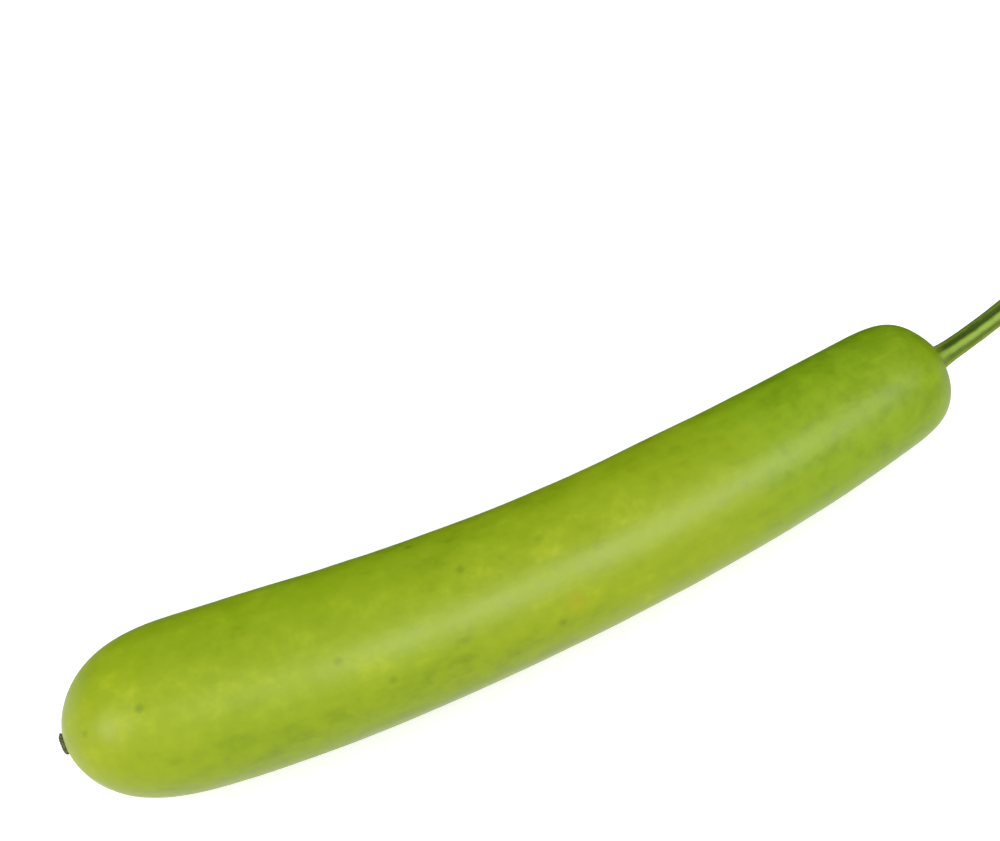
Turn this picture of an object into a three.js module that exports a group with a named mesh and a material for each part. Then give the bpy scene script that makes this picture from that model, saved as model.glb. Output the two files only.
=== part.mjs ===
// A long bottle gourd, as picked: the fruit, the cut stem that it hung from, and the dried
// scar that its blossom left at the other end. It lies on its side on the XY plane.
// Millimetres, +Z up. The fruit runs along X from the scar (-X) to the stem (+X), and its
// ends bend gently towards +Y. The origin is under the middle of the bounding box.
import * as THREE from 'three';
import { mergeVertices } from 'three/addons/utils/BufferGeometryUtils.js';

// Fruit: a belly that tapers towards the stem, with two faint swellings along its length.
const FRUIT_LENGTH = 397;
const BELLY_RADIUS = 36.1;
const TAPER = 9.7;
const TAPER_POWER = 1.5;
const SWELLING = 0.49;

// The fruit's middle line sags sideways by BEND, a little more towards the scar.
const BEND = 18.2;
const BEND_SKEW = -0.07;

// Each end closes like a blunt egg: power sets how square its shoulder is and round how
// pointed its tip is.
const SCAR_CAP = { length: 65, power: 3.23, round: 0.56, seat: 2.2 };
const STEM_CAP = { length: 86.5, power: 11.7, round: 0.9, seat: 5.6 };

// Stem: five-ribbed, wider where it leaves the fruit a little aside of its middle line, rising
// and turning slightly.
const STEM_LENGTH = 40;
const STEM_RADIUS = 4.5;
const STEM_FLARE = 0.9;
const STEM_FLARE_REACH = 6;
const STEM_RIBS = 5;
const STEM_RIB_DEPTH = 0.45;
const STEM_ASIDE = 1.25;
const STEM_TURN = 1.6;
const STEM_RISE = 2;

// Blossom scar: a low round button, just off the tip and square to the skin there.
const SCAR_RADIUS = 3.8;
const SCAR_HEIGHT = 1.6;
const SCAR_OFFSET = 3;
const SCAR_TILT = THREE.MathUtils.degToRad(10);

// Neighbouring pieces stay this far apart.
const GAP = 0.3;

// Facets: a side of the fruit's polygon faces straight down, which gives it a flat strip to
// lie on.
const FRUIT_SIDES = 36;
const CAP_RINGS = 12;
const MIDDLE_RINGS = 24;
const STEM_SIDES = 20;
const STEM_RINGS = 12;
const SCAR_SIDES = 20;

const UP = new THREE.Vector3(0, 0, 1);

const FRUIT_SKIN = new THREE.MeshStandardMaterial({ color: '#8fb02a', roughness: 0.5, metalness: 0 });
const STEM_SKIN = new THREE.MeshStandardMaterial({ color: '#667d1c', roughness: 0.6, metalness: 0 });
const DRIED_SCAR = new THREE.MeshStandardMaterial({ color: '#5b5b38', roughness: 0.85, metalness: 0 });

// The fruit's radius without its closed ends, at a fraction of its length from the scar.
function bodyRadius(fraction) {
  const swelling = SWELLING * Math.cos(4 * Math.PI * fraction);
  return BELLY_RADIUS - TAPER * fraction ** TAPER_POWER - swelling;
}

// How much of the body's radius is left at a distance from a closed end.
function capScale(distance, cap) {
  const open = THREE.MathUtils.clamp(1 - distance / cap.length, 0, 1);
  return (1 - open ** cap.power) ** cap.round;
}

// The distance from a closed end at which the fruit is as wide as a given radius.
function capDistance(radius, cap, endRadius) {
  const open = (1 - (radius / endRadius) ** (1 / cap.round)) ** (1 / cap.power);
  return cap.length * (1 - open);
}

function skinRadius(along) {
  const ends = capScale(along, SCAR_CAP) * capScale(FRUIT_LENGTH - along, STEM_CAP);
  return bodyRadius(along / FRUIT_LENGTH) * ends;
}

// The middle line: bent sideways, and as high as the body's lowest side needs to lie on z = 0.
function middleLine(along) {
  const fraction = along / FRUIT_LENGTH;
  const skew = 1 + BEND_SKEW * (2 * fraction - 1);
  const height = bodyRadius(fraction) * Math.cos(Math.PI / FRUIT_SIDES);
  return new THREE.Vector3(
    along - FRUIT_LENGTH / 2,
    -BEND * 4 * fraction * (1 - fraction) * skew,
    height,
  );
}

// The level direction of the middle line, towards the stem.
function heading(along) {
  const step = 0.5;
  const direction = middleLine(along + step).sub(middleLine(along - step));
  direction.z = 0;
  return direction.normalize();
}

// Turns a profile of [radius, distance along] points around a line. spine gives the line's
// point and direction at a distance, and ripple scales the radius around the section.
function bodyAlong(profile, sides, spine, ripple = () => 1) {
  const points = profile.map(([radius, along]) => new THREE.Vector2(radius, along));
  const geometry = new THREE.LatheGeometry(points, sides, Math.PI / sides);
  const position = geometry.getAttribute('position');
  for (let i = 0; i < position.count; i += 1) {
    const { point, direction } = spine(position.getY(i));
    const across = new THREE.Vector3().crossVectors(direction, UP).normalize();
    const upward = new THREE.Vector3().crossVectors(across, direction);
    const scale = ripple(Math.atan2(position.getX(i), position.getZ(i)));
    point.addScaledVector(across, position.getX(i) * scale);
    point.addScaledVector(upward, position.getZ(i) * scale);
    position.setXYZ(i, point.x, point.y, point.z);
  }
  geometry.deleteAttribute('normal');
  geometry.deleteAttribute('uv');
  return mergeVertices(geometry);
}

// Distances from a closed end, crowded towards its tip, from its seat to the end of the cap.
function capStations(cap, endRadius) {
  const start = Math.acos(1 - capDistance(cap.seat, cap, endRadius) / cap.length);
  return Array.from({ length: CAP_RINGS }, (_, i) => {
    const angle = THREE.MathUtils.lerp(start, Math.PI / 2, i / CAP_RINGS);
    return cap.length * (1 - Math.cos(angle));
  });
}

function fruitProfile() {
  const scarEnd = capStations(SCAR_CAP, bodyRadius(0));
  const stemEnd = capStations(STEM_CAP, bodyRadius(1)).map((distance) => FRUIT_LENGTH - distance);
  const middle = Array.from({ length: MIDDLE_RINGS + 1 }, (_, i) => (
    THREE.MathUtils.lerp(SCAR_CAP.length, FRUIT_LENGTH - STEM_CAP.length, i / MIDDLE_RINGS)
  ));
  const stations = [...scarEnd, ...middle, ...stemEnd.reverse()];
  const skin = stations.map((along) => [skinRadius(along), along]);
  return [[0, stations[0]], ...skin, [0, stations[stations.length - 1]]];
}

function fruit() {
  const spine = (along) => ({ point: middleLine(along), direction: heading(along) });
  return new THREE.Mesh(bodyAlong(fruitProfile(), FRUIT_SIDES, spine), FRUIT_SKIN);
}

// The stem starts on the fruit's flat stem seat and curves away from the fruit's heading.
function stemPath() {
  const seat = FRUIT_LENGTH - capDistance(STEM_CAP.seat, STEM_CAP, bodyRadius(1));
  const forward = heading(seat);
  const left = new THREE.Vector3().crossVectors(UP, forward);
  const start = middleLine(seat).addScaledVector(forward, GAP).addScaledVector(left, -STEM_ASIDE);
  const bend = start.clone().addScaledVector(forward, STEM_LENGTH / 2);
  const tip = start.clone().addScaledVector(forward, STEM_LENGTH);
  tip.addScaledVector(left, STEM_TURN).addScaledVector(UP, STEM_RISE);
  return new THREE.QuadraticBezierCurve3(start, bend, tip);
}

function stem() {
  const path = stemPath();
  const spine = (along) => ({
    point: path.getPoint(along / STEM_LENGTH),
    direction: path.getTangent(along / STEM_LENGTH),
  });
  const wall = Array.from({ length: STEM_RINGS + 1 }, (_, i) => {
    const along = STEM_LENGTH * i / STEM_RINGS;
    return [STEM_RADIUS + STEM_FLARE * Math.exp(-along / STEM_FLARE_REACH), along];
  });
  const profile = [[0, 0], ...wall, [0, STEM_LENGTH]];
  const ribs = (angle) => 1 + STEM_RIB_DEPTH / STEM_RADIUS * Math.cos(STEM_RIBS * angle);
  return new THREE.Mesh(bodyAlong(profile, STEM_SIDES, spine, ribs), STEM_SKIN);
}

function blossomScar() {
  const distance = capDistance(SCAR_OFFSET, SCAR_CAP, bodyRadius(0));
  const outward = heading(distance).negate();
  const left = new THREE.Vector3().crossVectors(outward, UP);
  const start = middleLine(distance).addScaledVector(left.negate(), SCAR_OFFSET);
  const direction = outward.applyAxisAngle(UP, SCAR_TILT);
  const spine = (along) => ({
    point: start.clone().addScaledVector(direction, GAP + along),
    direction,
  });
  const profile = [
    [0, 0],
    [SCAR_RADIUS * 0.8, 0],
    [SCAR_RADIUS, SCAR_HEIGHT * 0.35],
    [SCAR_RADIUS * 0.85, SCAR_HEIGHT * 0.8],
    [SCAR_RADIUS * 0.4, SCAR_HEIGHT],
    [0, SCAR_HEIGHT],
  ];
  return new THREE.Mesh(bodyAlong(profile, SCAR_SIDES, spine), DRIED_SCAR);
}

const group = new THREE.Group();
const pieces = { fruit: fruit(), stem: stem(), blossom_scar: blossomScar() };
for (const [name, mesh] of Object.entries(pieces)) {
  mesh.name = name;
  group.add(mesh);
}

// The origin goes under the middle of the whole gourd.
const box = new THREE.Box3().setFromObject(group);
const middle = box.getCenter(new THREE.Vector3());
group.position.set(-middle.x, -middle.y, -box.min.z);

export default group;
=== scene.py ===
import math

import bpy
from mathutils import Matrix, Vector


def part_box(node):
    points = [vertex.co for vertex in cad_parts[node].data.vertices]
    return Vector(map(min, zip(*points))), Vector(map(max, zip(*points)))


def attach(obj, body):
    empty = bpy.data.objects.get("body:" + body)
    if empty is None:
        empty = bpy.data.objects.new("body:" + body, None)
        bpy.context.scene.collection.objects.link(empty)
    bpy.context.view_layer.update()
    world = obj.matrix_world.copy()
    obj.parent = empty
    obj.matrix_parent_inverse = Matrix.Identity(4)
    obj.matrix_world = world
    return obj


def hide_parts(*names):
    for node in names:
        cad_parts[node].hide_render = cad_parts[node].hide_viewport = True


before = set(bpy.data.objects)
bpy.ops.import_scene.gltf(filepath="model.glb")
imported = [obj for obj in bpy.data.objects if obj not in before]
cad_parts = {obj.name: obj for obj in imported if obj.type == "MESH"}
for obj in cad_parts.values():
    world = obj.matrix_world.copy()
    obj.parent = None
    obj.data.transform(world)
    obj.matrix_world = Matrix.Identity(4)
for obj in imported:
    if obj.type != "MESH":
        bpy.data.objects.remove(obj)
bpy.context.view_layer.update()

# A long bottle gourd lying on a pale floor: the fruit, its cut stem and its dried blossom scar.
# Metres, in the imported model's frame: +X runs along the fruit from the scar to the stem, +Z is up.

UP = Vector((0, 0, 1))

# ---------------------------------------------------------------- sizes

# The fruit is a belly that tapers towards the stem, with two faint swellings, and each end
# closes like a blunt egg. "Along" is the distance from the scar end.
FRUIT = {
    "Length": 0.397,
    "Belly radius": 0.0361,
    "Taper": 0.0097,
    "Taper power": 1.5,
    "Swelling": 0.00049,
    "Bend": 0.0182,
    "Bend skew": -0.07,
    "Scar cap length": 0.065,
    "Scar cap power": 3.23,
    "Scar cap round": 0.56,
    "Stem cap length": 0.0865,
    "Stem cap power": 11.7,
    "Stem cap round": 0.9,
}
FRUIT_SKIN = {
    "Rings": 320,
    "Sides": 160,
    "Undulation": 0.0007,
    "Undulation scale": 16.0,
    "Shoulder lobes": 0.0004,
    "Shoulder reach": 0.012,
}
RIB_COUNT = 5  # of the stem, and of the lobes that carry on into the fruit's shoulder
LOBES_START_RADIUS = 0.008  # the lobes fade out where the skin is closer in than this

STEM = {
    "Length": 0.040,
    "Radius": 0.0044,
    "Flare": 0.0012,
    "Flare reach": 0.0040,
    "Rib depth": 0.00032,
    "Rib turn": -0.22,
    "Twist": -0.25,
    "Fibre depth": 0.0003,
    "Fibre scale": 900.0,
    "Slant": 0.45,
    "Slant turn": 0.6,
    "Pith depth": 0.0008,
    "Rings": 170,
    "Sides": 120,
}
STEM_ASIDE = 0.00125  # how far the stem stands from the fruit's middle line
STEM_TURN = 0.0016  # how far its tip has swung sideways
STEM_RISE = 0.002  # how far its tip has risen
STEM_ROOT = 0.0015  # how far the stem is sunk into the fruit
STEM_SEAT_RADIUS = 0.0056  # the fruit's radius where the stem stands on it
STEM_BASE_SHARE = 0.05  # the share of the stem's sheet that closes the sunk end
STEM_FACE_SHARE = 0.22  # the share of it that makes the cut face

SCAR = {
    "Radius": 0.0043,
    "Height": 0.0028,
    "Pit": 0.0003,
    "Wrinkle": 0.0003,
    "Folds": 11.0,
    "Raggedness": 0.45,
    "Rings": 60,
    "Sides": 96,
}
SCAR_OFFSET = 0.003  # how far the scar sits from the fruit's middle line
SCAR_TILT = math.radians(10)
SCAR_ROOT = 0.0012  # how far the scar is sunk into the fruit

WELD = 0.000002


# ---------------------------------------------------------------- node arithmetic

class Term:
    """A number inside a node tree. Plain arithmetic on it adds the nodes that work it out."""

    def __init__(self, tree, socket):
        self.tree = tree
        self.socket = socket

    def __add__(self, other):
        return self.tree.math("ADD", self, other)

    def __radd__(self, other):
        return self.tree.math("ADD", other, self)

    def __sub__(self, other):
        return self.tree.math("SUBTRACT", self, other)

    def __rsub__(self, other):
        return self.tree.math("SUBTRACT", other, self)

    def __mul__(self, other):
        return self.tree.math("MULTIPLY", self, other)

    def __rmul__(self, other):
        return self.tree.math("MULTIPLY", other, self)

    def __truediv__(self, other):
        return self.tree.math("DIVIDE", self, other)

    def __pow__(self, other):
        return self.tree.math("POWER", self, other)

    def __neg__(self):
        return self.tree.math("MULTIPLY", self, -1.0)


class Tree:
    """Adds nodes to one geometry tree or one material."""

    def __init__(self, node_tree):
        self.node_tree = node_tree

    def wire(self, value, socket):
        if isinstance(value, Term):
            value = value.socket
        if isinstance(value, bpy.types.NodeSocket):
            self.node_tree.links.new(value, socket)
        else:
            socket.default_value = value

    def node(self, kind, inputs=None, **settings):
        node = self.node_tree.nodes.new(kind)
        for name, value in settings.items():
            setattr(node, name, value)
        for name, value in (inputs or {}).items():
            self.wire(value, node.inputs[name])
        return node

    def math(self, operation, *values):
        node = self.node("ShaderNodeMath", operation=operation)
        for value, socket in zip(values, node.inputs):
            self.wire(value, socket)
        return Term(self, node.outputs[0])

    def vector_math(self, operation, *values):
        node = self.node("ShaderNodeVectorMath", operation=operation)
        for value, socket in zip(values, node.inputs):
            self.wire(value, socket)
        return node.outputs[0]

    def vector(self, x, y, z):
        return self.node("ShaderNodeCombineXYZ", {"X": x, "Y": y, "Z": z}).outputs[0]

    def parts(self, vector):
        node = self.node("ShaderNodeSeparateXYZ", {"Vector": vector})
        return [Term(self, socket) for socket in node.outputs]

    def scaled(self, vector, factor):
        node = self.node("ShaderNodeVectorMath", operation="SCALE")
        self.wire(vector, node.inputs[0])
        self.wire(factor, node.inputs["Scale"])
        return node.outputs[0]

    def step(self, value, low, high, start=0.0, end=1.0):
        """Goes smoothly from start to end while value goes from low to high."""
        inputs = {"Value": value, "From Min": low, "From Max": high, "To Min": start, "To Max": end}
        node = self.node("ShaderNodeMapRange", inputs, interpolation_type="SMOOTHSTEP")
        return Term(self, node.outputs[0])

    def ramp(self, value, low, high):
        """Goes straight from 0 to 1 while value goes from low to high."""
        inputs = {"Value": value, "From Min": low, "From Max": high}
        return Term(self, self.node("ShaderNodeMapRange", inputs).outputs[0])

    def distance(self, place, other):
        """How far one place is from another."""
        node = self.node("ShaderNodeVectorMath", operation="DISTANCE")
        self.wire(place, node.inputs[0])
        self.wire(other, node.inputs[1])
        return Term(self, node.outputs["Value"])

    def mix(self, factor, low, high):
        """A colour between two others."""
        node = self.node("ShaderNodeMix", data_type="RGBA")
        sockets = {socket.identifier: socket for socket in node.inputs}
        self.wire(factor, sockets["Factor_Float"])
        self.wire(low, sockets["A_Color"])
        self.wire(high, sockets["B_Color"])
        return next(socket for socket in node.outputs if socket.identifier == "Result_Color")

    def noise(self, vector, scale, detail=2.0, roughness=0.5):
        inputs = {"Vector": vector, "Scale": scale, "Detail": detail, "Roughness": roughness}
        return Term(self, self.node("ShaderNodeTexNoise", inputs).outputs[0])


def sine(value):
    return value.tree.math("SINE", value) if isinstance(value, Term) else math.sin(value)


def cosine(value):
    return value.tree.math("COSINE", value) if isinstance(value, Term) else math.cos(value)


def exponential(value):
    return value.tree.math("EXPONENT", value) if isinstance(value, Term) else math.exp(value)


def not_below_zero(value):
    return value.tree.math("MAXIMUM", value, 0.0) if isinstance(value, Term) else max(value, 0.0)


# ---------------------------------------------------------------- the fruit's shape rule
# These take plain numbers or the terms of a node tree, so the rule is written only once.

def body_radius(size, along):
    """The fruit's radius without its closed ends."""
    fraction = along / size["Length"]
    swelling = size["Swelling"] * cosine(fraction * (4 * math.pi))
    return size["Belly radius"] - size["Taper"] * fraction ** size["Taper power"] - swelling


def cap_scale(size, cap, distance):
    """How much of the body's radius is left at a distance from a closed end."""
    open_part = not_below_zero(1 - distance / size[cap + " length"])
    return (1 - open_part ** size[cap + " power"]) ** size[cap + " round"]


def skin_radius(size, along):
    scar_end = cap_scale(size, "Scar cap", along)
    stem_end = cap_scale(size, "Stem cap", size["Length"] - along)
    return body_radius(size, along) * scar_end * stem_end


def middle_y(size, along):
    """How far the middle line sags sideways from the straight line between its ends."""
    fraction = along / size["Length"]
    skew = 1 + size["Bend skew"] * (2 * fraction - 1)
    return size["Bend"] * -4 * fraction * (1 - fraction) * skew


def middle_slope(size, along):
    """The sideways slope of the middle line."""
    fraction = along / size["Length"]
    skew = 1 + size["Bend skew"] * (2 * fraction - 1)
    sag = (1 - 2 * fraction) * skew + 2 * size["Bend skew"] * fraction * (1 - fraction)
    return size["Bend"] * -4 * sag / size["Length"]


def cap_distance(cap, radius, end_radius):
    """The distance from a closed end at which the fruit has a given radius."""
    closed = (radius / end_radius) ** (1 / FRUIT[cap + " round"])
    open_part = (1 - closed) ** (1 / FRUIT[cap + " power"])
    return FRUIT[cap + " length"] * (1 - open_part)


def heading(along):
    """The level direction of the middle line, towards the stem."""
    return Vector((1, middle_slope(FRUIT, along), 0)).normalized()


def chord_middle():
    """Where the middle of the straight line between the fruit's ends lies in the frame: the
    rule's outline, seen from above, is laid on the middle of the CAD fruit's box."""
    outline = []
    steps = 400
    for i in range(steps + 1):
        along = FRUIT["Length"] * i / steps
        middle = Vector((along - FRUIT["Length"] / 2, middle_y(FRUIT, along), 0))
        side = UP.cross(heading(along)) * skin_radius(FRUIT, along)
        outline += [middle + side, middle - side]
    low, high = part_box("fruit")
    centre = (low + high) / 2
    for axis in (0, 1):
        reach = [point[axis] for point in outline]
        centre[axis] -= (min(reach) + max(reach)) / 2
    centre.z = 0
    return centre


CHORD_MIDDLE = chord_middle()


def middle_point(along):
    x = along - FRUIT["Length"] / 2
    return CHORD_MIDDLE + Vector((x, middle_y(FRUIT, along), body_radius(FRUIT, along)))


# ---------------------------------------------------------------- growing pieces

def new_tree(name, sizes, vectors=()):
    """A geometry tree with a named input for each size, each vector and the material."""
    node_tree = bpy.data.node_groups.new(name, "GeometryNodeTree")
    interface = node_tree.interface
    for label, value in sizes.items():
        kind = "NodeSocketInt" if isinstance(value, int) else "NodeSocketFloat"
        interface.new_socket(label, in_out="INPUT", socket_type=kind)
    for label in vectors:
        interface.new_socket(label, in_out="INPUT", socket_type="NodeSocketVector")
    interface.new_socket("Material", in_out="INPUT", socket_type="NodeSocketMaterial")
    interface.new_socket("Geometry", in_out="OUTPUT", socket_type="NodeSocketGeometry")
    tree = Tree(node_tree)
    given = tree.node("NodeGroupInput")
    size = {socket.name: Term(tree, socket) for socket in given.outputs if socket.name}
    return tree, size


def wrapped_sheet(tree, size):
    """A sheet of Rings by Sides faces, with how far each point is along it and around it."""
    inputs = {
        "Size X": 1.0,
        "Size Y": 1.0,
        "Vertices X": size["Rings"] + 1,
        "Vertices Y": size["Sides"] + 1,
    }
    sheet = tree.node("GeometryNodeMeshGrid", inputs).outputs["Mesh"]
    x, y, _ = tree.parts(tree.node("GeometryNodeInputPosition").outputs[0])
    return sheet, x + 0.5, (y + 0.5) * (2 * math.pi)


def keep_attribute(tree, geometry, name, value):
    kind = "FLOAT" if isinstance(value, Term) else "FLOAT_VECTOR"
    node = tree.node("GeometryNodeStoreNamedAttribute", data_type=kind, domain="POINT")
    tree.wire(geometry, node.inputs["Geometry"])
    node.inputs["Name"].default_value = name
    tree.wire(value, node.inputs["Value"])
    return node.outputs[0]


def close_and_finish(tree, size, geometry, position):
    """Moves the sheet's points into place, welds its seam and poles, and gives it its skin."""
    placed = tree.node("GeometryNodeSetPosition", {"Geometry": geometry, "Position": position})
    weld = tree.node("GeometryNodeMergeByDistance", {"Geometry": placed.outputs[0], "Distance": WELD})
    smooth = tree.node("GeometryNodeSetShadeSmooth", {"Geometry": weld.outputs[0]})
    real = tree.node("GeometryNodeRealizeInstances", {"Geometry": smooth.outputs[0]})
    coated = tree.node("GeometryNodeSetMaterial", {"Geometry": real.outputs[0]})
    tree.wire(size["Material"], coated.inputs["Material"])
    tree.node("NodeGroupOutput", {"Geometry": coated.outputs[0]})


def grow(name, tree, values):
    """Runs a tree with the given values and keeps the result as a piece with a plain mesh."""
    seed = bpy.data.objects.new(name + "_seed", bpy.data.meshes.new(name + "_seed"))
    bpy.context.scene.collection.objects.link(seed)
    modifier = seed.modifiers.new("grow", "NODES")
    modifier.node_group = tree.node_tree
    for socket in tree.node_tree.interface.items_tree:
        if socket.in_out == "INPUT":
            modifier[socket.identifier] = values[socket.name]
    depsgraph = bpy.context.evaluated_depsgraph_get()
    grown = seed.evaluated_get(depsgraph)
    mesh = bpy.data.meshes.new_from_object(grown, preserve_all_data_layers=True, depsgraph=depsgraph)
    bpy.data.objects.remove(seed)
    mesh.name = name
    piece = bpy.data.objects.new(name, mesh)
    bpy.context.scene.collection.objects.link(piece)
    return piece


def stand_in_for(piece, node):
    """Puts a finished piece in the place of its CAD node."""
    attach(piece, "root")
    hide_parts(node)


# ---------------------------------------------------------------- the fruit

def fruit_tree():
    tree, size = new_tree("gourd_fruit", FRUIT | FRUIT_SKIN, ["Chord middle"])
    sheet, progress, around = wrapped_sheet(tree, size)

    # Rings crowd towards both tips, where the skin turns fastest.
    along = size["Length"] * 0.5 * (1 - cosine(progress * math.pi))
    radius = skin_radius(size, along)
    upward = cosine(around)
    sideways = sine(around)
    grown = tree.vector(along, radius * sideways, radius * upward)

    # Soft unevenness, which fades out at the tips and where the fruit lies on its underside.
    free_side = tree.step(upward, -0.95, -0.3, 0.15, 1.0)
    bulk = radius / size["Belly radius"]
    swell = tree.noise(grown, size["Undulation scale"], detail=2.0) - 0.5
    uneven = size["Undulation"] * 2 * swell * free_side * bulk

    # Faint lobes where the stem's ribs run into the shoulder.
    from_stem = size["Length"] - along
    fading = exponential(-from_stem / size["Shoulder reach"])
    lobes = size["Shoulder lobes"] * cosine(around * RIB_COUNT) * fading
    reach = radius + uneven + lobes * tree.step(radius, 0.0, LOBES_START_RADIUS)

    slope = middle_slope(size, along)
    level = (1 + slope * slope) ** -0.5
    across_x = slope * level
    across_y = -level
    chord_x, chord_y, _ = tree.parts(size["Chord middle"])
    position = tree.vector(
        chord_x + along - size["Length"] * 0.5 + across_x * reach * sideways,
        chord_y + middle_y(size, along) + across_y * reach * sideways,
        body_radius(size, along) + reach * upward,
    )
    kept = keep_attribute(tree, sheet, "grown", grown)
    close_and_finish(tree, size, kept, position)
    return tree


# ---------------------------------------------------------------- the stem

def stem_path():
    """The start, turning point and tip of the stem's middle line."""
    end_radius = body_radius(FRUIT, FRUIT["Length"])
    seat = FRUIT["Length"] - cap_distance("Stem cap", STEM_SEAT_RADIUS, end_radius)
    forward = heading(seat)
    left = UP.cross(forward)
    start = middle_point(seat) - left * STEM_ASIDE
    turn = start + forward * STEM["Length"] / 2
    tip = start + forward * STEM["Length"] + left * STEM_TURN + UP * STEM_RISE
    return {"Start": start - forward * STEM_ROOT, "Turn": turn, "Tip": tip}


def stem_tree():
    tree, size = new_tree("gourd_stem", STEM, ["Start", "Turn", "Tip"])
    sheet, progress, around = wrapped_sheet(tree, size)

    # The sheet closes the sunk end, runs up the wall and then across the cut face.
    face_start = 1 - STEM_FACE_SHARE
    wall = tree.ramp(progress, STEM_BASE_SHARE, face_start)
    open_base = tree.ramp(progress, 0.0, STEM_BASE_SHARE)
    open_face = tree.ramp(progress, 1.0, face_start)
    along = size["Length"] * wall

    # Ribs, which turn a little around the stem, and a foot that spreads on the fruit.
    angle = around + size["Rib turn"] + size["Twist"] * wall
    rib = 0.5 + 0.5 * cosine(angle * RIB_COUNT)
    foot = size["Flare"] * exponential(-along / size["Flare reach"])
    drawn_out = tree.vector(along * 0.12, sine(angle) * 0.004, cosine(angle) * 0.004)
    fibres = size["Fibre depth"] * (tree.noise(drawn_out, size["Fibre scale"]) - 0.5)
    radius = size["Radius"] + foot + size["Rib depth"] * (2 * rib ** 0.8 - 1) + fibres
    reach = radius * open_base * open_face ** 0.9

    # The knife went through at a slant, and the pith has sunk a little.
    near_tip = tree.step(wall, 0.7, 1.0)
    slant = size["Slant"] * reach * cosine(around - size["Slant turn"]) * near_tip
    sunk = size["Pith depth"] * tree.step(open_face, 0.85, 0.2)

    start = size["Start"].socket
    turn = size["Turn"].socket
    tip = size["Tip"].socket
    early = tree.vector_math("SUBTRACT", turn, start)
    late = tree.vector_math("SUBTRACT", tip, turn)
    tangent = tree.vector_math("ADD", tree.scaled(early, 1 - wall), tree.scaled(late, wall))
    tangent = tree.vector_math("NORMALIZE", tangent)
    across = tree.vector_math("NORMALIZE", tree.vector_math("CROSS_PRODUCT", tangent, tuple(UP)))
    upward = tree.vector_math("CROSS_PRODUCT", across, tangent)
    from_start = tree.scaled(early, 2 * (1 - wall) * wall + wall * wall)
    from_turn = tree.scaled(late, wall * wall)
    position = tree.vector_math("ADD", start, tree.vector_math("ADD", from_start, from_turn))
    position = tree.vector_math("ADD", position, tree.scaled(across, reach * sine(around)))
    position = tree.vector_math("ADD", position, tree.scaled(upward, reach * cosine(around)))
    position = tree.vector_math("ADD", position, tree.scaled(tangent, slant - sunk))

    grown = tree.vector(along, reach * sine(angle), reach * cosine(angle))
    kept = keep_attribute(tree, sheet, "grown", grown)
    kept = keep_attribute(tree, kept, "rib", rib)
    kept = keep_attribute(tree, kept, "cut", 1 - open_face)
    close_and_finish(tree, size, kept, position)
    return tree


# ---------------------------------------------------------------- the blossom scar

def scar_place():
    """Where the scar sits on the blunt tip, and the way it faces."""
    distance = cap_distance("Scar cap", SCAR_OFFSET, body_radius(FRUIT, 0.0))
    outward = -heading(distance)
    aside = UP.cross(outward)
    start = middle_point(distance) + aside * SCAR_OFFSET
    facing = Matrix.Rotation(SCAR_TILT, 3, "Z") @ outward
    return {"Start": start - facing * SCAR_ROOT, "Facing": facing}


def scar_tree():
    tree, size = new_tree("gourd_blossom_scar", SCAR, ["Start", "Facing"])
    sheet, progress, around = wrapped_sheet(tree, size)

    # A low dome that thins towards its ragged rim, with radial wrinkles and a small pit.
    turn = progress * math.pi
    rim = tree.vector(sine(around), cosine(around), progress * 0.6)
    rag = tree.noise(rim, 2.4, detail=4.0) - 0.5
    radius = size["Radius"] * sine(turn) ** 0.95 * (1 + size["Raggedness"] * rag)
    share = radius / size["Radius"]
    top = tree.step(turn, 0.5 * math.pi, 0.8 * math.pi)
    pit = size["Pit"] * exponential(share * share * -9)
    folds = size["Wrinkle"] * cosine(around * size["Folds"] + rag * 9) * share
    height = size["Height"] * 0.5 * (1 - cosine(turn)) + top * (folds - pit)

    facing = size["Facing"].socket
    across = tree.vector_math("NORMALIZE", tree.vector_math("CROSS_PRODUCT", facing, tuple(UP)))
    upward = tree.vector_math("CROSS_PRODUCT", across, facing)
    position = tree.vector_math("ADD", size["Start"].socket, tree.scaled(facing, height))
    position = tree.vector_math("ADD", position, tree.scaled(across, radius * sine(around)))
    position = tree.vector_math("ADD", position, tree.scaled(upward, radius * cosine(around)))

    kept = keep_attribute(tree, sheet, "fold", folds / size["Wrinkle"])
    kept = keep_attribute(tree, kept, "share", share)
    close_and_finish(tree, size, kept, position)
    return tree


# ---------------------------------------------------------------- materials

def paint(red, green, blue):
    """A colour from its everyday 0 to 255 values."""
    def linear(value):
        value /= 255
        return value / 12.92 if value <= 0.04045 else ((value + 0.055) / 1.055) ** 2.4
    return (linear(red), linear(green), linear(blue), 1.0)


def new_material(name):
    """A material with its own shader, and the tree that adds to it."""
    material = bpy.data.materials.new(name)
    material.use_nodes = True
    shader = next(n for n in material.node_tree.nodes if n.type == "BSDF_PRINCIPLED")
    return material, shader, Tree(material.node_tree)


def add_bump(tree, shader, height, strength, distance):
    bump = tree.node("ShaderNodeBump", {"Height": height, "Strength": strength, "Distance": distance})
    tree.wire(bump.outputs[0], shader.inputs["Normal"])


GOURD_DEEP = paint(117, 147, 0)
GOURD_MID = paint(138, 166, 0)
GOURD_PALE = paint(167, 189, 6)
GOURD_YELLOW = paint(178, 190, 30)
GOURD_COLLAR = paint(176, 196, 104)
GOURD_FLECK = paint(92, 124, 0)
GOURD_BLEMISH = paint(128, 122, 52)
GOURD_RUBBED = paint(168, 158, 18)
GOURD_SPOT = paint(96, 112, 12)

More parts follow.
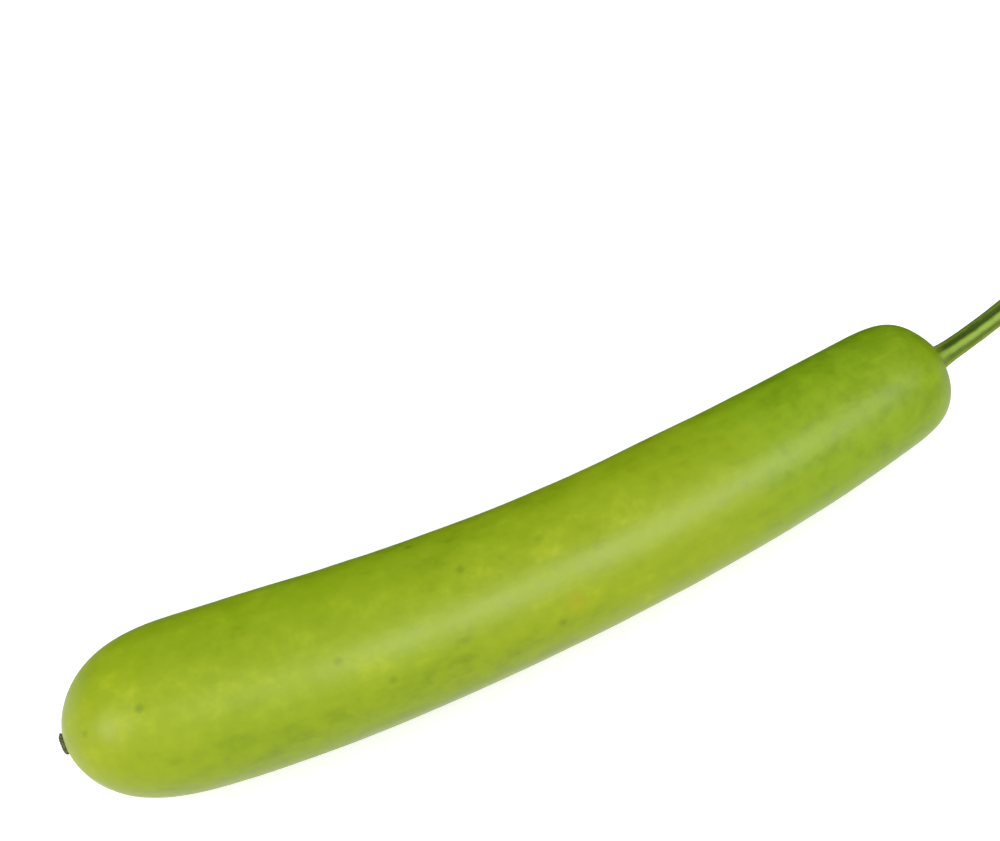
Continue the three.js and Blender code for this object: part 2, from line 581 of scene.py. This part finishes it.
# How many times a metre each pattern of the skin repeats.
PATCH_SCALE = 14.0
DOT_SCALE = 52.0
MOTTLE_SCALE = 70.0
BLEMISH_SCALE = 95.0
STREAK_SCALE = 110.0
BLOTCH_SCALE = 170.0
GRAIN_SCALE = 420.0
PORE_SCALE = 1500.0

# Places on the straightened fruit: along it, towards its near side and upwards.
RUBBED_PATCH = (0.2061, 0.0227, 0.0225)
RUBBED_REACH = 0.008
DARK_SPOT = (0.1980, 0.0263, 0.0186)
SPOT_REACH = 0.0026

# Stretches along the fruit, from its scar end, over which the skin changes.
YELLOW_TIP = (0.0, 0.07)
PALE_END = (0.0, 0.16)
SHADED_FLANK_END = (0.26, 0.12)
DOTS_THIN_OUT = (0.16, 0.28)
WARM_START = (0.12, 0.20)
WARM_END = (0.26, 0.32)
DEEP_START = (0.26, 0.40)

# Stretches across the fruit, towards its near side, for the painted shade on the far side and near
# flank and the painted warm tint of light on the near side.
SHADED_FAR_SIDE = (0.004, -0.016)
SHADED_NEAR_FLANK = (0.014, 0.034)
LIT_WARM_SIDE = (-0.034, 0.010)

# Stretches from the stem and from the scar, over which the pale collar fades.
STEM_COLLAR = (0.0008, 0.0034)
SCAR_COLLAR = (0.0006, 0.0030)


def gourd_skin():
    """Smooth satin skin: mottled yellow-green, paler at the blossom end, deeper at the stem, with
    painted shade on its far side and near flank and a painted warm tint of light on its near side.
    """
    material, shader, tree = new_material("gourd_skin")
    grown = tree.node("ShaderNodeAttribute", attribute_name="grown").outputs["Vector"]
    along, sideways, _ = tree.parts(grown)

    patches = tree.noise(grown, PATCH_SCALE, detail=2.0)
    mottle = tree.noise(grown, MOTTLE_SCALE, detail=3.0)
    blotches = tree.noise(grown, BLOTCH_SCALE, detail=2.0)
    grain = tree.noise(grown, GRAIN_SCALE, detail=3.0, roughness=0.6)
    drawn_out = tree.vector_math("MULTIPLY", grown, (0.25, 1.0, 1.0))
    streaks = tree.noise(drawn_out, STREAK_SCALE, detail=3.0)

    # 0 is the deepest green and 1 the palest; painted shade lowers it on the far side and on the near
    # flank towards the blossom end.
    paleness_and_side_shade = (
        0.46
        + 0.26 * (patches - 0.5)
        + 0.46 * (mottle - 0.5)
        + 0.48 * (blotches - 0.5)
        + 0.40 * (streaks - 0.5)
        + 0.18 * (grain - 0.5)
        + tree.step(along, *PALE_END, 0.12, 0.0)
        - tree.step(along, *DEEP_START, 0.0, 0.16)
        # Painted shade: darker on the far side, and on the near flank towards the blossom end.
        - tree.step(sideways, *SHADED_FAR_SIDE, 0.0, 0.06)
        - tree.step(sideways, *SHADED_NEAR_FLANK, 0.0, 0.20) * tree.step(along, *SHADED_FLANK_END)
    )
    low_half = tree.mix(tree.step(paleness_and_side_shade, 0.05, 0.5), GOURD_DEEP, GOURD_MID)
    skin = tree.mix(tree.step(paleness_and_side_shade, 0.45, 0.95), low_half, GOURD_PALE)
    skin = tree.mix(tree.step(along, *YELLOW_TIP, 0.25, 0.0), skin, GOURD_YELLOW)

    # Soft darker dots, fewer towards the stem, and a few dry blemishes.
    dots = tree.node("ShaderNodeTexVoronoi", {"Vector": grown, "Scale": DOT_SCALE})
    from_dot = Term(tree, dots.outputs["Distance"])
    pick = tree.parts(dots.outputs["Color"])[0]
    fewer = tree.step(along, *DOTS_THIN_OUT, 0.6, 0.2)
    skin = tree.mix(tree.step(from_dot, 0.15, 0.02) * pick * fewer, skin, GOURD_FLECK)
    blemish_noise = tree.noise(grown, BLEMISH_SCALE, detail=5.0, roughness=0.7)
    blemish = tree.step(blemish_noise, 0.76, 0.82, 0.0, 0.6)
    skin = tree.mix(blemish, skin, GOURD_BLEMISH)

    # One rubbed patch on the near side, with a small dark spot beside it.
    from_patch = tree.distance(grown, RUBBED_PATCH) + 0.006 * (blotches - 0.5)
    rubbed = tree.step(from_patch, RUBBED_REACH, 0.0, 0.0, 0.32)
    skin = tree.mix(rubbed, skin, GOURD_RUBBED)
    spot = tree.step(tree.distance(grown, DARK_SPOT), SPOT_REACH, 0.0004, 0.0, 0.40)
    skin = tree.mix(spot, skin, GOURD_SPOT)

    # A pale collar around the stem and around the scar.
    from_stem = FRUIT["Length"] - along
    collar = tree.step(from_stem, *STEM_COLLAR, 0.85, 0.0)
    ring = tree.step(along, *SCAR_COLLAR, 0.75, 0.0)
    skin = tree.mix(collar + ring, skin, GOURD_COLLAR)

    # Painted light and shade: the skin is tinted yellower on its lit near side and greener on its
    # shaded far side. Along it, it is yellower in the middle and greener by the stem.
    side_light_and_tint = (
        tree.step(sideways, *LIT_WARM_SIDE, -0.06, 0.09)
        + tree.step(along, *WARM_START, 0.0, 0.04)
        - tree.step(along, *WARM_END, 0.0, 0.12)
    )
    skin = tree.vector_math("MULTIPLY", skin, tree.vector(1 + side_light_and_tint, 1.0, 1.0))
    tree.wire(skin, shader.inputs["Base Color"])

    roughness = 0.40 + 0.24 * (mottle - 0.5) + 0.14 * (blotches - 0.5) + 0.25 * blemish
    tree.wire(roughness, shader.inputs["Roughness"])
    shader.inputs["Specular IOR Level"].default_value = 0.28
    shader.inputs["Sheen Weight"].default_value = 0.01
    shader.inputs["Sheen Roughness"].default_value = 0.45
    shader.inputs["Sheen Tint"].default_value = GOURD_PALE
    shader.inputs["Subsurface Weight"].default_value = 0.12
    shader.inputs["Subsurface Radius"].default_value = (1.0, 0.8, 0.2)
    shader.inputs["Subsurface Scale"].default_value = 0.004
    pores = tree.noise(grown, PORE_SCALE, detail=2.0)
    height = 0.5 * mottle + 0.35 * streaks + 0.22 * grain + 0.07 * pores - 0.2 * blemish
    add_bump(tree, shader, height, 0.35, 0.0008)
    return material


# The far-flank shade, lit olive flank, groove shade and lit ridge are painted shade and light.
STEM_SHADE = paint(64, 88, 2)
STEM_LIT_OLIVE = paint(114, 134, 40)
STEM_GROOVE_SHADE = paint(58, 80, 2)
STEM_LIT_RIDGE = paint(142, 170, 58)
STEM_FOOT = paint(134, 158, 46)
STEM_PITH = paint(206, 212, 158)
STEM_FIBRE = paint(150, 164, 84)
STEM_DRY_RIM = paint(140, 128, 74)

STEM_CLOUD_SCALE = 260.0
STEM_FIBRE_SCALE = 1300.0
STEM_BUNDLE_SCALE = 2200.0


def stem_skin():
    """A green stem with painted shade in its grooves and on its far flank, paler ribs with a painted
    highlight on the one that faces up, and a pale cut end.
    """
    material, shader, tree = new_material("stem_skin")
    grown = tree.node("ShaderNodeAttribute", attribute_name="grown").outputs["Vector"]
    rib = Term(tree, tree.node("ShaderNodeAttribute", attribute_name="rib").outputs["Fac"])
    cut = Term(tree, tree.node("ShaderNodeAttribute", attribute_name="cut").outputs["Fac"])
    along, sideways, upward = tree.parts(grown)
    drawn_out = tree.vector_math("MULTIPLY", grown, (0.10, 1.0, 1.0))
    fibres = tree.noise(drawn_out, STEM_FIBRE_SCALE, detail=4.0, roughness=0.6)
    cloud = tree.noise(grown, STEM_CLOUD_SCALE, detail=3.0)

    # Painted shade and light: deep green shade on the far flank, lit olive on the near one, painted
    # shade in the grooves, and a painted highlight on the rib that faces up; the other ribs are a
    # little paler.
    rib_shading = rib + 0.7 * (fibres - 0.5) + 0.5 * (cloud - 0.5)
    flank = tree.mix(tree.step(sideways, -0.002, 0.003), STEM_SHADE, STEM_LIT_OLIVE)
    skin = tree.mix(tree.step(rib_shading, 0.0, 0.5, 0.45, 0.0), flank, STEM_GROOVE_SHADE)
    lit_ridge_share = tree.step(upward, 0.0015, 0.0042, 0.25, 1.0)
    skin = tree.mix(tree.step(rib_shading, 0.15, 1.05) * lit_ridge_share, skin, STEM_LIT_RIDGE)
    skin = tree.mix(tree.step(along, 0.0015, 0.007, 0.4, 0.0), skin, STEM_FOOT)

    # The cut face: a dried rim, a ring of fibre bundles and pale pith.
    bundles = tree.noise(grown, STEM_BUNDLE_SCALE, detail=2.0)
    ring = tree.step(cut, 0.16, 0.30) * tree.step(cut, 0.55, 0.38)
    pith = tree.mix(ring * tree.step(bundles, 0.45, 0.6), STEM_PITH, STEM_FIBRE)
    pith = tree.mix(tree.step(cut, 0.16, 0.06), pith, STEM_DRY_RIM)
    skin = tree.mix(tree.step(cut, 0.01, 0.06), skin, pith)
    tree.wire(skin, shader.inputs["Base Color"])
    roughness = 0.5 + 0.2 * (cloud - 0.5) + tree.step(cut, 0.0, 0.1, 0.0, 0.3)
    tree.wire(roughness, shader.inputs["Roughness"])
    shader.inputs["Specular IOR Level"].default_value = 0.19
    shader.inputs["Sheen Weight"].default_value = 0.02
    shader.inputs["Sheen Tint"].default_value = STEM_LIT_RIDGE
    shader.inputs["Subsurface Weight"].default_value = 0.08
    shader.inputs["Subsurface Radius"].default_value = (1.0, 0.8, 0.2)
    shader.inputs["Subsurface Scale"].default_value = 0.002
    add_bump(tree, shader, 0.7 * fibres + 0.3 * cloud + 0.3 * bundles * cut, 0.5, 0.0005)
    return material


SCAR_DARK = paint(46, 52, 26)
SCAR_MID = paint(84, 90, 52)
SCAR_PALE = paint(146, 150, 104)
SCAR_CRUST_SCALE = 1400.0


def dried_scar():
    """Dry olive-brown blossom remains, greyer along their folds and rim."""
    material, shader, tree = new_material("dried_scar")
    fold = Term(tree, tree.node("ShaderNodeAttribute", attribute_name="fold").outputs["Fac"])
    share = Term(tree, tree.node("ShaderNodeAttribute", attribute_name="share").outputs["Fac"])
    place = tree.node("ShaderNodeTexCoord").outputs["Object"]
    crust = tree.noise(place, SCAR_CRUST_SCALE, detail=4.0, roughness=0.65)
    dryness = 0.35 * fold + 1.1 * (crust - 0.5) + 0.45
    skin = tree.mix(tree.step(dryness, 0.1, 0.7), SCAR_DARK, SCAR_MID)
    worn_rim = tree.step(share, 0.82, 1.05, 0.0, 0.6) * tree.step(crust, 0.35, 0.6)
    skin = tree.mix(worn_rim, skin, SCAR_PALE)
    tree.wire(skin, shader.inputs["Base Color"])
    tree.wire(0.8 + 0.2 * (crust - 0.5), shader.inputs["Roughness"])
    shader.inputs["Specular IOR Level"].default_value = 0.25
    add_bump(tree, shader, crust, 0.7, 0.0004)
    return material


FLOOR_PALE = (0.95, 0.95, 0.95, 1.0)
FLOOR_RETURN = (0.34, 0.34, 0.34, 1.0)
FLOOR_GLOW = 0.34


def floor_finish():
    """A plain, nearly white studio table, lit a little from below. It gives back less light
    than it shows, so that the underside of the gourd stays in its own shade."""
    material, shader, tree = new_material("studio_floor")
    seen = Term(tree, tree.node("ShaderNodeLightPath").outputs["Is Camera Ray"])
    tree.wire(tree.mix(seen, FLOOR_RETURN, FLOOR_PALE), shader.inputs["Base Color"])
    shader.inputs["Roughness"].default_value = 0.9
    shader.inputs["Specular IOR Level"].default_value = 0.1
    shader.inputs["Emission Color"].default_value = (1.0, 1.0, 1.0, 1.0)
    tree.wire(seen * FLOOR_GLOW, shader.inputs["Emission Strength"])
    return material


# ---------------------------------------------------------------- the studio

FLOOR_HALF = 4.0

CAMERA_AZIMUTH = math.radians(-24.85)
CAMERA_ELEVATION = math.radians(70)
CAMERA_DISTANCE = 0.9656
CAMERA_LENS = 80
CAMERA_SENSOR = 36
AIM_FROM_CHORD = Vector((0.0205, 0.06004, 0))

# The room's own light is soft, and brightest in a direction that leans from overhead to the
# near side. The skin's gloss shows a pale near side, palest where it mirrors the floor, and a
# dark far side, which keeps the skin's colour. Seen directly the room is a white backdrop.
ROOM_BRIGHT = 1.34
ROOM_DIM = 0.61
ROOM_LEAN = math.radians(37)
GLOSS_NEAR = 0.72
GLOSS_FLOOR = 1.25
BACKDROP = 1.0
SOFTBOX_DISTANCE = 2.4
SOFTBOXES = {
    "stem_side_softbox": {"azimuth": 30, "elevation": 57, "size": 1.3, "power": 24},
    "stem_end_softbox": {"azimuth": 62, "elevation": 54, "size": 1.2, "power": 12.8},
    "overhead_softbox": {"azimuth": -10, "elevation": 70, "size": 1.4, "power": 4.8},
    "scar_side_softbox": {"azimuth": -86, "elevation": 33, "size": 1.0, "power": 17},
}


def outward(azimuth, elevation):
    """The direction from the object towards something seen at these angles."""
    level = math.cos(elevation)
    return Vector((math.sin(azimuth) * level, -math.cos(azimuth) * level, math.sin(elevation)))


def facing(direction):
    """The turn that points a lamp's or camera's back along a direction."""
    return direction.to_track_quat("Z", "Y").to_matrix().to_4x4()


def lay_floor():
    mesh = bpy.data.meshes.new("floor")
    corners = [(x * FLOOR_HALF, y * FLOOR_HALF, 0) for x, y in ((-1, -1), (1, -1), (1, 1), (-1, 1))]
    mesh.from_pydata(corners, [], [(0, 1, 2, 3)])
    mesh.materials.append(floor_finish())
    floor = bpy.data.objects.new("floor", mesh)
    bpy.context.scene.collection.objects.link(floor)
    floor.visible_glossy = False  # gloss sees the lower half of the room instead


def softbox(name, box):
    light = bpy.data.lights.new(name, "AREA")
    light.shape = "DISK"
    light.size = box["size"]
    light.energy = box["power"]
    direction = outward(math.radians(box["azimuth"]), math.radians(box["elevation"]))
    lamp = bpy.data.objects.new(name, light)
    place = CHORD_MIDDLE + direction * SOFTBOX_DISTANCE
    lamp.matrix_world = Matrix.Translation(place) @ facing(direction)
    lamp.visible_diffuse = False  # it only makes the soft highlights
    bpy.context.scene.collection.objects.link(lamp)


def light_studio():
    """Soft light from all around, and softboxes that only show as highlights."""
    world = bpy.data.worlds.new("studio_room")
    world.use_nodes = True
    background = next(n for n in world.node_tree.nodes if n.type == "BACKGROUND")
    tree = Tree(world.node_tree)
    direction = tree.node("ShaderNodeTexCoord").outputs["Generated"]
    x, y, height = tree.parts(direction)
    near = outward(CAMERA_AZIMUTH, 0)
    nearness = x * near.x + y * near.y
    ray = tree.node("ShaderNodeLightPath").outputs
    glossy = Term(tree, ray["Is Glossy Ray"])
    seen = Term(tree, ray["Is Camera Ray"])
    brightest = height * math.cos(ROOM_LEAN) + nearness * math.sin(ROOM_LEAN)
    room = tree.step(brightest, -0.3, 0.55, ROOM_DIM, ROOM_BRIGHT)
    above = GLOSS_NEAR * tree.step(nearness, -0.1, 0.5)
    below = GLOSS_FLOOR * tree.step(nearness, -0.65, -0.2)
    gloss = above + (below - above) * tree.step(height, 0.2, -0.3)
    unseen = room + glossy * (gloss - room)
    tree.wire(unseen + seen * (BACKDROP - unseen), background.inputs["Strength"])
    background.inputs["Color"].default_value = (1.0, 1.0, 1.0, 1.0)
    world.cycles.sampling_method = "NONE"  # otherwise gloss would partly see the room's own light
    bpy.context.scene.world = world
    for name, box in SOFTBOXES.items():
        softbox(name, box)


def place_camera():
    camera_data = bpy.data.cameras.new("camera")
    camera_data.lens = CAMERA_LENS
    camera_data.sensor_width = CAMERA_SENSOR
    camera = bpy.data.objects.new("camera", camera_data)
    direction = outward(CAMERA_AZIMUTH, CAMERA_ELEVATION)
    aim = CHORD_MIDDLE + AIM_FROM_CHORD
    camera.matrix_world = Matrix.Translation(aim + direction * CAMERA_DISTANCE) @ facing(direction)
    bpy.context.scene.collection.objects.link(camera)
    bpy.context.scene.camera = camera


# ---------------------------------------------------------------- putting it together

place_camera()
light_studio()
lay_floor()

fruit = grow("gourd_fruit", fruit_tree(), FRUIT | FRUIT_SKIN | {
    "Chord middle": CHORD_MIDDLE,
    "Material": gourd_skin(),
})
stand_in_for(fruit, "fruit")

stem = grow("gourd_stem", stem_tree(), STEM | stem_path() | {"Material": stem_skin()})
stand_in_for(stem, "stem")

scar = grow("gourd_blossom_scar", scar_tree(), SCAR | scar_place() | {"Material": dried_scar()})
stand_in_for(scar, "blossom_scar")

bpy.context.scene.view_settings.view_transform = "Standard"
